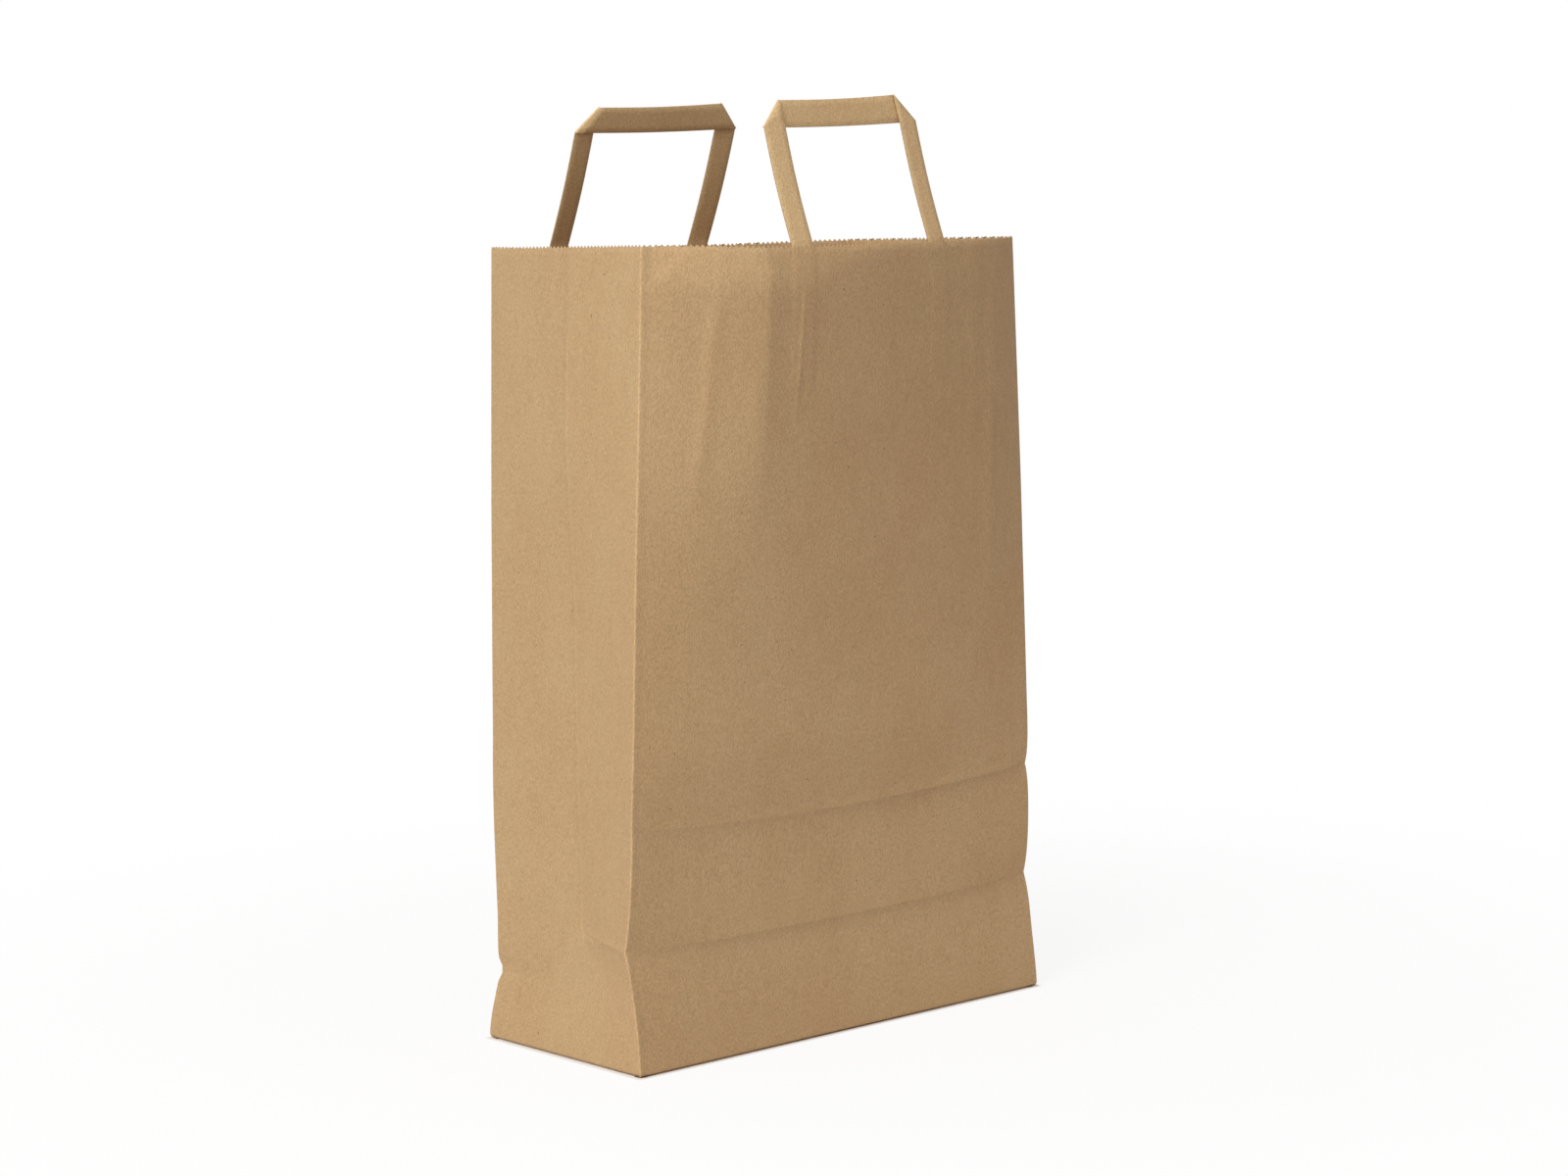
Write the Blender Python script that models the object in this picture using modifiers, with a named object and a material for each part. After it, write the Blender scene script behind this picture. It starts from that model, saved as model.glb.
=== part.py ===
"""A brown kraft paper carrier bag, standing open, with two flat handles of folded paper tape.

The bag is one folded sheet: two wide walls, two narrow sides with gusset creases, and a block bottom of
four glued flaps. Each handle's legs are glued to the inside of a wide wall, under a paper patch.
Metres, +Z up. The origin is on the ground under the middle of the base, and the front wall faces -Y.
"""

import math

import bmesh
import bpy
import numpy as np

# Overall size
WIDTH = 0.260  # of the base, along X
DEPTH = 0.1176  # of the base, along Y
HEIGHT = 0.383  # from the ground to the tips of the cut edge at the corners
PAPER = 0.00015  # one layer of the bag's paper

# Cut edge at the mouth
TOOTH_PITCH = 0.0027
TOOTH_HEIGHT = 0.0013

# Handles, each a paper tape folded flat
HANDLE_SPAN = 0.110  # over the outer edges of the two legs
TAPE_WIDTH = 0.0134
TAPE = 0.0007  # thickness of the folded tape
LEG_LENGTH = 0.138  # from the glued end to the top edge
RISE_FRONT = 0.0713  # along the leg, from the mouth to the top edge
RISE_BACK = 0.0750
RISE_SKEW = 0.0015  # by which the viewer's right leg stands higher, and the left one lower
SHIFT_FRONT = 0.0008  # of the handle and its patch from the wall's middle, to the viewer's right
SHIFT_BACK = -0.0082
LEAN_FRONT = math.radians(15.9)
LEAN_BACK = math.radians(22.0)

# Patches that cover the legs inside
PATCH_WIDTH = 0.140
PATCH_TOP = 0.019  # below the mouth
PATCH_HEIGHT = 0.067
PATCH = 0.00015
PATCH_RAMP = 0.0015  # width of the slope beside a leg
GLUE = 0.0001  # gap that the glue fills

# Bottom flaps
FLAP_OVERLAP = 0.024  # by which the two long flaps cover each other
FLAP_FUSE = 0.00002  # depth to which glued flaps run into each other

# Swell of the opened bag: the wide walls bow out towards the mouth
SWELL_START = 0.103  # height at which the bowing begins
SWELL_POWER = 0.62
SWELL_ONSET = 0.050  # height over which it sets in
CORNER_ANGLE = math.radians(36.6)  # of a wide wall to its chord, at the corners of the mouth
BEND_ANGLE = math.radians(17.6)  # just outside the patch
PATCH_ANGLE = math.radians(8.0)  # at the edge of the stiff patch
BEND_WIDTH = 0.006
FREE_POWER = 1.4  # how late the bow turns where no patch stiffens it
STIFF_FADE = 0.070  # height over which the patch's stiffness fades out below it
BOW_PLACES = 241  # along a wide wall, where its turn is added up

# Sway of the mouth against the base
SWAY_X = 0.0028
SWAY_Y = -0.0009
MOUTH_YAW = math.radians(1.8)
MOUTH_SLOPE = -0.008  # of the cut edge, along X
FRONT_PATCH_YAW = math.radians(-9.4)
BACK_PATCH_YAW = math.radians(-4.3)

# Creases left from the bag's flat-packed state
FOLD_VALLEY = 0.0046  # depth of the fold at half the bag's depth above the ground
FOLD_REACH = 0.014
MARK_SHARE = 0.98  # height of that mark, as a share of the bag's depth
MARK_VALLEY = 0.0026  # depth of the mark where the folded bottom ended
MARK_REACH = 0.007
MARK_FADE = 0.15  # share of the mark's depth that is left at the near corner
GUSSET_DEPTH = 0.013  # push of the gusset crease where it forks
GUSSET_FADE = ((1.0, 1.0), (1.8, 0.85), (3.8, 0.55), (5.0, 0.12), (6.5, 0.12))  # forks up, share of depth
FRONT_LEFT_BULGE = 0.0022
FRONT_RIGHT_TUCK = 0.0021
BACK_LEFT_TUCK = 0.0061
BACK_RIGHT_TUCK = 0.004
TUCK_HEIGHT = 0.036  # height by which the corners have drawn in

# Places that follow from the sizes above
HALF_WIDTH = (WIDTH - PAPER) / 2
HALF_DEPTH = (DEPTH - PAPER) / 2
FOOT = PAPER / 3  # the walls end inside the lowest flap
FOLD_HEIGHT = DEPTH / 2
MARK_HEIGHT = DEPTH * MARK_SHARE
LEG_OUTER = HANDLE_SPAN / 2
LEG_INNER = LEG_OUTER - TAPE_WIDTH
LEG_MIDDLE = LEG_OUTER - TAPE_WIDTH / 2
PATCH_HALF = PATCH_WIDTH / 2
PATCH_LOW = HEIGHT - PATCH_TOP - PATCH_HEIGHT
PATCH_HIGH = HEIGHT - PATCH_TOP

# Facets: the level lines' heights and the upright lines' places
FORK_STEPS = (0.0, 0.25, 0.5, 0.75, 0.9, 1.0)  # shares of the fold's height, and of a narrow side's half
FOLD_STEPS = (0.5, 1.4, 2.6)  # fold reaches above the fold
MARK_STEPS = (-1.0, 0.0, 1.0, 3.0)  # mark reaches from the mark
RISING_LINES = 5  # from there to the patch
WING_LINES = 5  # between the patch and a corner


def clear_scene():
    for item in list(bpy.data.objects):
        bpy.data.objects.remove(item, do_unlink=True)


def new_collection(name):
    collection = bpy.data.collections.new(name)
    bpy.context.scene.collection.children.link(collection)
    return collection


def material(name, colour, roughness):
    made = bpy.data.materials.new(name)
    made.use_nodes = True
    shader = made.node_tree.nodes["Principled BSDF"]
    shader.inputs["Base Color"].default_value = (*colour, 1.0)
    shader.inputs["Roughness"].default_value = roughness
    shader.inputs["Metallic"].default_value = 0.0
    return made


def ramp(value, start, end):
    """0 at start, 1 at end, and a straight line between."""
    return min(max((value - start) / (end - start), 0.0), 1.0)


def smooth(share):
    return share * share * (3.0 - 2.0 * share)


def cusp(height, centre, reach):
    """1 on a crease, falling away on both sides, and 0 on the ground."""
    return math.exp(-abs(height - centre) / reach) * ramp(height, 0.0, reach)


# The wide walls

def bow_angle(place, height, shift, patch_yaw):
    """How far a wide wall turns from its chord, at a distance from its middle and a height."""
    stiff = smooth(ramp(height, PATCH_LOW - STIFF_FADE, PATCH_LOW))
    free = CORNER_ANGLE * (abs(place) / HALF_WIDTH) ** FREE_POWER
    from_patch = abs(place - shift)
    if from_patch < PATCH_HALF:
        held = patch_yaw - PATCH_ANGLE * (place - shift) / PATCH_HALF
    elif from_patch < PATCH_HALF + BEND_WIDTH:
        bend = (from_patch - PATCH_HALF) / BEND_WIDTH
        held = -math.copysign(PATCH_ANGLE + (BEND_ANGLE - PATCH_ANGLE) * bend, place)
    else:
        wing = HALF_WIDTH - abs(shift) - PATCH_HALF - BEND_WIDTH
        rest = min((from_patch - PATCH_HALF - BEND_WIDTH) / wing, 1.0)
        held = -math.copysign(BEND_ANGLE + (CORNER_ANGLE - BEND_ANGLE) * rest, place)
    onset = smooth(ramp(height, SWELL_START, SWELL_START + SWELL_ONSET))
    swell = onset * ramp(height, SWELL_START, HEIGHT) ** SWELL_POWER
    return swell * (stiff * held - (1.0 - stiff) * math.copysign(free, place))


def bow_line(height, shift, patch_yaw):
    """A wide wall's level line: where it is along and out from its chord, for places along the paper."""
    places = np.linspace(-HALF_WIDTH, HALF_WIDTH, BOW_PLACES)
    angles = np.array([bow_angle(place, height, shift, patch_yaw) for place in places])
    middles = (angles[1:] + angles[:-1]) / 2
    step = places[1] - places[0]
    along = np.concatenate([[0.0], np.cumsum(np.cos(middles)) * step])
    out = np.concatenate([[0.0], np.cumsum(np.sin(middles)) * step])
    turn = math.atan2(out[-1], along[-1])
    level_along = along * math.cos(turn) + out * math.sin(turn)
    level_out = out * math.cos(turn) - along * math.sin(turn)
    return places, level_along, level_out


def sunk(out, height):
    """How much lower the paper stands where it leans out."""
    return out**2 / (2 * (height - SWELL_START)) if height > SWELL_START else 0.0


# The corners and the narrow sides

def gusset_push(height):
    """How far the gusset crease is pushed in at a height."""
    forks = height / FOLD_HEIGHT
    if forks < 1.0:
        return GUSSET_DEPTH * forks
    heights = [entry[0] for entry in GUSSET_FADE]
    shares = [entry[1] for entry in GUSSET_FADE]
    return GUSSET_DEPTH * float(np.interp(forks, heights, shares))


def side_push(place, height):
    """Push of a narrow side's surface, at a distance from its middle: a fork of creases at the bottom."""
    from_corner = 1.0 - abs(place) / HALF_DEPTH
    if height < FOLD_HEIGHT:
        return GUSSET_DEPTH * min(height / FOLD_HEIGHT, from_corner)
    return gusset_push(height) * from_corner


def corners(height, front_chord, back_chord):
    """The four corners of the level line: front left, front right, back right, back left."""
    rise = ramp(height, SWELL_START, HEIGHT)
    yaw = MOUTH_YAW * rise
    centre = np.array([SWAY_X, SWAY_Y]) * rise
    turned = np.array([[math.cos(yaw), -math.sin(yaw)], [math.sin(yaw), math.cos(yaw)]])
    half_side = math.sqrt(HALF_DEPTH**2 - gusset_push(height) ** 2)
    fold = FOLD_VALLEY * cusp(height, FOLD_HEIGHT, FOLD_REACH)
    mark = MARK_VALLEY * cusp(height, MARK_HEIGHT, MARK_REACH)
    drawn = smooth(ramp(height, 0.0, TUCK_HEIGHT))
    bulge = math.sin(math.pi * ramp(height, 0.0, MARK_HEIGHT)) ** 2
    front_left = centre + turned @ [-front_chord / 2, -half_side]
    front_right = centre + turned @ [front_chord / 2, -half_side]
    back_right = centre + turned @ [back_chord / 2, half_side]
    back_left = centre + turned @ [-back_chord / 2, half_side]
    front_left += [-FRONT_LEFT_BULGE * bulge, fold + mark * MARK_FADE]
    front_right += [-FRONT_RIGHT_TUCK * drawn, fold + mark]
    back_right += [-BACK_RIGHT_TUCK * drawn, 0.0]
    back_left += [BACK_LEFT_TUCK * drawn, 0.0]
    return front_left, front_right, back_right, back_left


def wide_points(start, end, bow, columns, height, sign):
    """Points of a wide wall between two corners, with its bow to the given side."""
    places, along, out = bow
    chord = end - start
    length = np.linalg.norm(chord)
    unit = chord / length
    outward = np.array([unit[1], -unit[0]]) * sign
    scale = length / along[-1]
    points = []
    for place in columns:
        reach = np.interp(place, places, out) * scale
        flat = start + unit * np.interp(place, places, along) * scale + outward * reach
        points.append((*flat, height - sunk(reach, height)))
    return points


def side_points(start, end, columns, height, inward):
    """Points of a narrow side between two corners, pushed in along X."""
    middle = (start + end) / 2
    unit = (end - start) / (2 * HALF_DEPTH)
    points = []
    for place in columns:
        flat = middle + unit * place + [inward * side_push(place, height), 0.0]
        points.append((*flat, height))
    return points


def level_line(height, columns):
    """The four walls' points at a height, anticlockwise from the front left corner, each wall on its own."""
    front_bow = bow_line(height, SHIFT_FRONT, FRONT_PATCH_YAW)
    back_bow = bow_line(height, SHIFT_BACK, BACK_PATCH_YAW)
    front_left, front_right, back_right, back_left = corners(height, front_bow[1][-1], back_bow[1][-1])
    front = wide_points(front_left, front_right, front_bow, columns[0], height, 1.0)
    right = side_points(front_right, back_right, columns[1], height, -1.0)
    back = wide_points(back_left, back_right, back_bow, [-place for place in columns[2]], height, -1.0)
    left = side_points(back_left, front_left, columns[3], height, 1.0)
    walls = [np.array(wall) for wall in (front, right, back, left)]
    for wall in walls:
        wall[:, 2] += MOUTH_SLOPE * wall[:, 0] * ramp(height, SWELL_START, HEIGHT)
    return walls


def wide_columns(shift):
    """Places along a wide wall where its facets meet, with the patch's middle at the shift."""
    right = [shift + PATCH_HALF, *np.linspace(shift + PATCH_HALF + BEND_WIDTH, HALF_WIDTH, WING_LINES)]
    left = [shift - PATCH_HALF, *np.linspace(shift - PATCH_HALF - BEND_WIDTH, -HALF_WIDTH, WING_LINES)]
    legs = [shift - LEG_OUTER, shift - LEG_INNER, shift, shift + LEG_INNER, shift + LEG_OUTER]
    return left[::-1] + legs + right


def side_columns():
    """Places along a narrow side where its facets meet: the fork's creases run from one to the next."""
    half = [HALF_DEPTH * (1.0 - step) for step in FORK_STEPS]
    return [-place for place in half[:-1]] + half[::-1]


def row_heights():
    """Heights of the level lines, closest together at the creases."""
    fork = [max(FOLD_HEIGHT * step, FOOT) for step in FORK_STEPS]
    above_fold = [FOLD_HEIGHT + FOLD_REACH * step for step in FOLD_STEPS]
    around_mark = [MARK_HEIGHT + MARK_REACH * step for step in MARK_STEPS]
    rising = list(np.linspace(around_mark[-1], PATCH_LOW, RISING_LINES + 1))[1:]
    return fork + above_fold + around_mark + rising + [(PATCH_LOW + PATCH_HIGH) / 2, PATCH_HIGH, HEIGHT]


class Walls:
    """The faceted walls, and points on their facets. The walls are 0 front, 1 right, 2 back, 3 left."""

    def __init__(self):
        self.heights = row_heights()
        back = [-place for place in reversed(wide_columns(SHIFT_BACK))]
        self.columns = [wide_columns(SHIFT_FRONT), side_columns(), back, side_columns()]
        self.rows = [level_line(height, self.columns) for height in self.heights]

    def point(self, wall, place, height):
        """A point on a wall's facets, with place in the walking direction, anticlockwise from above."""
        upper = int(np.searchsorted(self.heights, height).clip(1, len(self.heights) - 1))
        share = (height - self.heights[upper - 1]) / (self.heights[upper] - self.heights[upper - 1])
        low, high = self.rows[upper - 1][wall], self.rows[upper][wall]
        line = low + (high - low) * share
        return np.array([np.interp(place, self.columns[wall], line[:, axis]) for axis in range(3)])

    def inward(self, wall, place, height):
        """The level direction into the bag from a facet."""
        step = TOOTH_PITCH / 20
        ahead = self.point(wall, place + step, height) - self.point(wall, place - step, height)
        flat = np.array([-ahead[1], ahead[0], 0.0])
        return flat / np.linalg.norm(flat)


def sheet_object(name, rows, thickness, collection, finish):
    """An open sheet lofted through rows of points, thickened evenly about its middle."""
    mesh = bpy.data.meshes.new(name)
    shape = bmesh.new()
    grid = [[shape.verts.new(point) for point in row] for row in rows]
    for low, high in zip(grid, grid[1:]):
        for left, right, top_right, top_left in zip(low, low[1:], high[1:], high):
            shape.faces.new((left, right, top_right, top_left))
    shape.to_mesh(mesh)
    shape.free()
    return thickened(name, mesh, thickness, collection, finish)


def thickened(name, mesh, thickness, collection, finish):
    made = bpy.data.objects.new(name, mesh)
    collection.objects.link(made)
    mesh.materials.append(finish)
    solid = made.modifiers.new("Thickness", "SOLIDIFY")
    solid.thickness = thickness
    solid.offset = 0.0
    solid.use_even_offset = True
    return made


def plate(name, outline, low, high, collection):
    """A flat plate with a straight-sided outline, between two heights, as a closed mesh."""
    curve = bpy.data.curves.new(name, "CURVE")
    curve.dimensions = "2D"
    curve.fill_mode = "BOTH"
    curve.extrude = (high - low) / 2
    spline = curve.splines.new("POLY")
    spline.points.add(len(outline) - 1)
    for point, (x, y) in zip(spline.points, outline):
        point.co = (x, y, 0.0, 1.0)
    spline.use_cyclic_u = True
    flat = bpy.data.objects.new(name, curve)
    collection.objects.link(flat)
    flat.location.z = (low + high) / 2
    bpy.context.view_layer.update()
    evaluated = flat.evaluated_get(bpy.context.evaluated_depsgraph_get())
    mesh = bpy.data.meshes.new_from_object(evaluated)
    made = bpy.data.objects.new(name, mesh)
    made.matrix_world = flat.matrix_world
    bpy.data.objects.remove(flat, do_unlink=True)
    shape = bmesh.new()
    shape.from_mesh(mesh)
    bmesh.ops.remove_doubles(shape, verts=shape.verts, dist=PAPER / 20)
    bmesh.ops.recalc_face_normals(shape, faces=shape.faces)
    shape.to_mesh(mesh)
    shape.free()
    collection.objects.link(made)
    made.hide_render = True
    made.display_type = "WIRE"
    return made


def join_to(target, other):
    """Makes another solid part of the target."""
    union = target.modifiers.new(other.name, "BOOLEAN")
    union.operation = "UNION"
    union.solver = "EXACT"
    union.object = other
    other.hide_render = True
    other.display_type = "WIRE"


# The bag

def toothed_edge(walls, wall, left, right):
    """Points of the cut edge between two of a wall's columns, both ends left out."""
    columns = walls.columns[wall]
    length = columns[-1] - columns[0]
    half_teeth = 2 * max(round(length / TOOTH_PITCH), 1)
    pitch = length / half_teeth
    points = []
    for number in range(1, half_teeth):
        place = columns[0] + number * pitch
        if left + pitch / 10 < place < right - pitch / 10:
            depth = 0.0 if number % 2 else TOOTH_HEIGHT
            points.append(walls.point(wall, place, HEIGHT - depth))
    return points


def bag_mesh(walls):
    """The four walls as one open tube: forked creases on the narrow sides and a toothed edge on top."""
    mesh = bpy.data.meshes.new("bag")
    shape = bmesh.new()
    counts = [len(columns) for columns in walls.columns]
    cells = [(wall, column) for wall in range(4) for column in range(counts[wall] - 1)]
    grid = []
    for row in walls.rows[:-1]:
        grid.append([shape.verts.new(row[wall][column]) for wall, column in cells])
    top = []
    for wall, column in cells:
        top.append(shape.verts.new(walls.point(wall, walls.columns[wall][column], HEIGHT - TOOTH_HEIGHT)))
    fork_rows = len(FORK_STEPS) - 1
    for level in range(len(grid) - 1):
        for number, (wall, column) in enumerate(cells):
            following = (number + 1) % len(cells)
            a, b = grid[level][number], grid[level][following]
            d, c = grid[level + 1][number], grid[level + 1][following]
            if wall % 2 and level < fork_rows and column == level:
                shape.faces.new((a, b, c))
                shape.faces.new((a, c, d))
            elif wall % 2 and level < fork_rows and column == counts[wall] - 2 - level:
                shape.faces.new((a, b, d))
                shape.faces.new((b, c, d))
            else:
                shape.faces.new((a, b, c, d))
    for number, (wall, column) in enumerate(cells):
        following = (number + 1) % len(cells)
        columns = walls.columns[wall]
        teeth = toothed_edge(walls, wall, columns[column], columns[column + 1])
        edge = [shape.verts.new(point) for point in reversed(teeth)]
        shape.faces.new((grid[-1][number], grid[-1][following], top[following], *edge, top[number]))
    shape.to_mesh(mesh)
    shape.free()
    return mesh


def long_flap(sign):
    """A long flap's outline, with mitred ends, from the wall at y = sign * HALF_DEPTH."""
    reach = HALF_DEPTH + FLAP_OVERLAP / 2
    edge = sign * HALF_DEPTH
    inner = sign * (HALF_DEPTH - reach)
    return [
        (-HALF_WIDTH, edge),
        (HALF_WIDTH, edge),
        (HALF_WIDTH - reach, inner),
        (-HALF_WIDTH + reach, inner),
    ]


def side_flap(sign):
    """A side flap's outline, a rectangle from the narrow side at x = sign * HALF_WIDTH."""
    reach = HALF_DEPTH + FLAP_OVERLAP / 2
    edge = sign * HALF_WIDTH
    inner = sign * (HALF_WIDTH - reach)
    return [(edge, -HALF_DEPTH), (edge, HALF_DEPTH), (inner, HALF_DEPTH), (inner, -HALF_DEPTH)]


def make_bag(walls, collection, helpers, finish):
    bag = thickened("bag", bag_mesh(walls), PAPER, collection, finish)
    layers = (
        ("flap_back", long_flap(1), 0),
        ("flap_front", long_flap(-1), 1),
        ("flap_left", side_flap(-1), 2),
        ("flap_right", side_flap(1), 2),
    )
    for name, outline, layer in layers:
        low = PAPER * layer
        join_to(bag, plate(name, outline, low, low + PAPER + FLAP_FUSE, helpers))
    return bag


# The handles and their patches

def make_handle(name, walls, wall, shift, rise, skew, lean, collection, helpers, finish):
    """A folded tape: two legs on the outside and a bar behind them, with mitred corners."""
    standoff = PAPER / 2 + GLUE + TAPE / 2
    foot = HEIGHT + rise - LEG_LENGTH
    levels = [foot] + [height for height in walls.heights if height > foot]
    left = walls.point(wall, shift - LEG_MIDDLE, HEIGHT)
    right = walls.point(wall, shift + LEG_MIDDLE, HEIGHT)
    across = (right - left) / np.linalg.norm(right - left)
    into_bag = np.array([-across[1], across[0], 0.0])
    upward = into_bag * math.sin(lean) + np.array([0.0, 0.0, math.cos(lean)])
    behind = into_bag * math.cos(lean) - np.array([0.0, 0.0, math.sin(lean)])
    tip = PAPER - TAPE_WIDTH  # the mitre ends in a narrow face

    def on_leg(place, side, height):
        facing = walls.inward(wall, shift + side * LEG_MIDDLE, height)
        return walls.point(wall, shift + place, height) + facing * standoff

    def above(place, side, drop):
        return on_leg(place, side, HEIGHT) + upward * (rise + side * skew + drop)

    legs = []
    for side in (-1, 1):
        inner, outer = side * LEG_INNER, side * LEG_OUTER
        rows = [[on_leg(inner, side, height), on_leg(outer, side, height)] for height in levels]
        rows.append([above(inner, side, -TAPE_WIDTH), above(outer, side, -TAPE_WIDTH)])
        rows.append([above(inner, side, 0.0), above(outer, side, tip)])
        if side < 0:
            rows = [row[::-1] for row in rows]
        label = f"{name}_leg_{'left' if side < 0 else 'right'}"
        legs.append(sheet_object(label, rows, TAPE, helpers, finish))

    layer = behind * (TAPE - FLAP_FUSE)
    ends = ((-LEG_OUTER, -1), (-LEG_INNER, -1), (LEG_INNER, 1), (LEG_OUTER, 1))
    bar_low = [above(place, side, -TAPE_WIDTH) + layer for place, side in ends]
    bar_high = [above(place, side, tip if abs(place) == LEG_OUTER else 0.0) + layer for place, side in ends]
    rows = [bar_low, bar_high]
    bar = sheet_object(name, rows, TAPE, collection, finish)
    for leg in legs:
        join_to(bar, leg)
    return bar


def make_patch(name, walls, wall, shift, collection, finish):
    """A paper patch on the inside of a wide wall, with a raised channel over each leg."""
    flat = PAPER / 2 + GLUE + PATCH / 2
    raised = flat + TAPE + GLUE
    clear = TAPE / 2
    half = [
        (0.0, flat),
        (LEG_INNER - clear - PATCH_RAMP, flat),
        (LEG_INNER - clear, raised),
        (LEG_OUTER + clear, raised),
        (LEG_OUTER + clear + PATCH_RAMP, flat),
        (PATCH_HALF, flat),
    ]
    profile = [(shift - place, standoff) for place, standoff in reversed(half[1:])]
    profile += [(shift + place, standoff) for place, standoff in half]
    levels = [height for height in walls.heights if PATCH_LOW - PAPER < height < PATCH_HIGH + PAPER]
    rows = []
    for height in levels:
        rows.append(
            [
                walls.point(wall, place, height) + walls.inward(wall, place, height) * standoff
                for place, standoff in profile
            ]
        )
    return sheet_object(name, rows, PATCH, collection, finish)


def main():
    clear_scene()
    collection = new_collection("paper_carrier_bag")
    helpers = new_collection("joined_pieces")
    kraft = material("kraft_paper", (0.46, 0.31, 0.17), 0.85)
    tape = material("kraft_tape", (0.44, 0.30, 0.16), 0.8)
    lining = material("kraft_patch", (0.44, 0.29, 0.16), 0.85)
    walls = Walls()
    make_bag(walls, collection, helpers, kraft)
    # The back wall is walked from right to left, so its shift and skew turn round
    make_handle(
        "handle_front", walls, 0, SHIFT_FRONT, RISE_FRONT, RISE_SKEW, LEAN_FRONT, collection, helpers, tape
    )
    make_handle(
        "handle_back", walls, 2, -SHIFT_BACK, RISE_BACK, -RISE_SKEW, LEAN_BACK, collection, helpers, tape
    )
    make_patch("patch_front", walls, 0, SHIFT_FRONT, collection, lining)
    make_patch("patch_back", walls, 2, -SHIFT_BACK, collection, lining)


main()
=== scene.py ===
import math

import bpy
import numpy as np
from mathutils import Matrix, Vector, noise


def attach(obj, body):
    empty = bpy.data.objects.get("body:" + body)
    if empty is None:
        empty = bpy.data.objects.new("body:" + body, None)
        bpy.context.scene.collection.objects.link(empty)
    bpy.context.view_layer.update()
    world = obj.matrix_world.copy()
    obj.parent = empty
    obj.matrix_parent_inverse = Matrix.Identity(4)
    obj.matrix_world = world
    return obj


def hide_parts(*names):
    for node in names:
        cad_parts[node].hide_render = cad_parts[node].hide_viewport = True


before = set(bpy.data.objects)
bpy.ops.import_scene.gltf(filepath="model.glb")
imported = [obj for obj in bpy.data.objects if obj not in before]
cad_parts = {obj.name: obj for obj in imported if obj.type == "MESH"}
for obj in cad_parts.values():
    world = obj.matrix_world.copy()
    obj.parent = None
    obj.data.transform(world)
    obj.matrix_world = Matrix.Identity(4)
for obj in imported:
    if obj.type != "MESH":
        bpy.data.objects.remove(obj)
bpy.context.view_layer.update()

# The bag's own sizes, in metres, as in the part's source
WIDTH = 0.260
DEPTH = 0.1176
HEIGHT = 0.383
PAPER = 0.00015
TOOTH_PITCH = 0.0027
TOOTH_HEIGHT = 0.0013
HANDLE_SPAN = 0.110
TAPE_WIDTH = 0.0134
TAPE = 0.0007
LEG_LENGTH = 0.138
RISE_FRONT = 0.0713
RISE_BACK = 0.0750
RISE_SKEW = 0.0015
SHIFT_FRONT = 0.0008
SHIFT_BACK = -0.0082
LEAN_FRONT = math.radians(15.9)
LEAN_BACK = math.radians(22.0)
PATCH_WIDTH = 0.140
PATCH_TOP = 0.019
PATCH_HEIGHT = 0.067
PATCH = 0.00015
GLUE = 0.0001
FLAP_OVERLAP = 0.024
SWELL_START = 0.103
SWELL_POWER = 0.62
SWELL_ONSET = 0.050
CORNER_ANGLE = math.radians(36.6)
BEND_ANGLE = math.radians(17.6)
PATCH_ANGLE = math.radians(8.0)
BEND_WIDTH = 0.006
FREE_POWER = 1.4
STIFF_FADE = 0.070
BOW_PLACES = 241
SWAY_X = 0.0028
SWAY_Y = -0.0009
MOUTH_YAW = math.radians(1.8)
MOUTH_SLOPE = -0.008
FRONT_PATCH_YAW = math.radians(-9.4)
BACK_PATCH_YAW = math.radians(-4.3)
FOLD_VALLEY = 0.0046
FOLD_REACH = 0.014
MARK_SHARE = 0.98
MARK_VALLEY = 0.0026
MARK_REACH = 0.007
MARK_FADE = 0.15
GUSSET_DEPTH = 0.013
GUSSET_FADE = ((1.0, 1.0), (1.8, 0.85), (3.8, 0.55), (5.0, 0.12), (6.5, 0.12))
FRONT_LEFT_BULGE = 0.0022
FRONT_RIGHT_TUCK = 0.0021
BACK_LEFT_TUCK = 0.0061
BACK_RIGHT_TUCK = 0.004
TUCK_HEIGHT = 0.036
HALF_WIDTH = (WIDTH - PAPER) / 2
HALF_DEPTH = (DEPTH - PAPER) / 2
FOOT = PAPER / 3
FOLD_HEIGHT = DEPTH / 2
MARK_HEIGHT = DEPTH * MARK_SHARE
LEG_OUTER = HANDLE_SPAN / 2
LEG_INNER = LEG_OUTER - TAPE_WIDTH
LEG_MIDDLE = LEG_OUTER - TAPE_WIDTH / 2
PATCH_HALF = PATCH_WIDTH / 2
PATCH_LOW = HEIGHT - PATCH_TOP - PATCH_HEIGHT
PATCH_HIGH = HEIGHT - PATCH_TOP


# Camera at the photograph's viewing angle

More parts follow.
